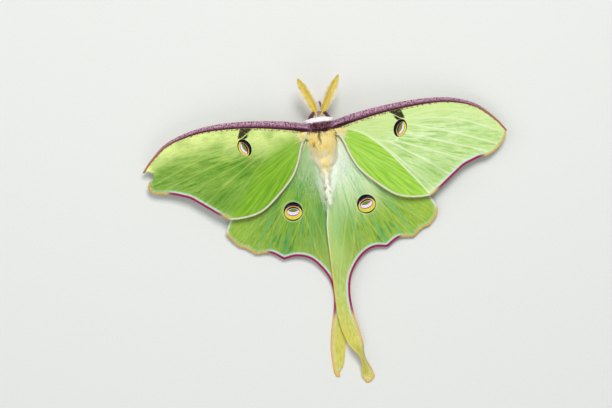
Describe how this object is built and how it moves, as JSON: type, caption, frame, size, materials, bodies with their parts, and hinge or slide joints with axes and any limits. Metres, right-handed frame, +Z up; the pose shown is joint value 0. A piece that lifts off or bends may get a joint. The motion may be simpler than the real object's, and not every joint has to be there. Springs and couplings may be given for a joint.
{
  "type": "luna moth",
  "caption": "Male luna moth at life size with pale green wings spread, long crossed hindwing tails, feathered antennae and furry body, resting on its feet.",
  "frame": {"origin": "on the floor under the middle of the moth's outline, seen from above", "axes": "+Y towards the head, +X towards the moth's right wing, +Z up from the floor it rests on"},
  "size_m": [0.1055, 0.0894, 0.0112],
  "materials": {
    "wing": "scaled wing membrane, pale yellow-green, soft matt sheen, let through by light",
    "thorax_coat": "long hair-like scales, cream yellow with a white collar and a maroon band",
    "white_coat": "soft white hair-like scales",
    "antenna": "golden yellow, fine dry branches",
    "leg": "maroon, short hair over a dull shell",
    "eye": "dark brown compound eye, satin gloss"
  },
  "bodies": {
    "root": {"head": "white_coat", "eye_left": "eye", "eye_right": "eye", "antenna_left": "antenna", "antenna_right": "antenna", "thorax": "thorax_coat", "abdomen": "white_coat", "forewing_left": "wing", "forewing_right": "wing", "hindwing_left": "wing", "hindwing_right": "wing", "leg_front_left": "leg", "leg_front_right": "leg", "leg_middle_left": "leg", "leg_middle_right": "leg", "leg_hind_left": "leg", "leg_hind_right": "leg"}
  },
  "joints": []
}
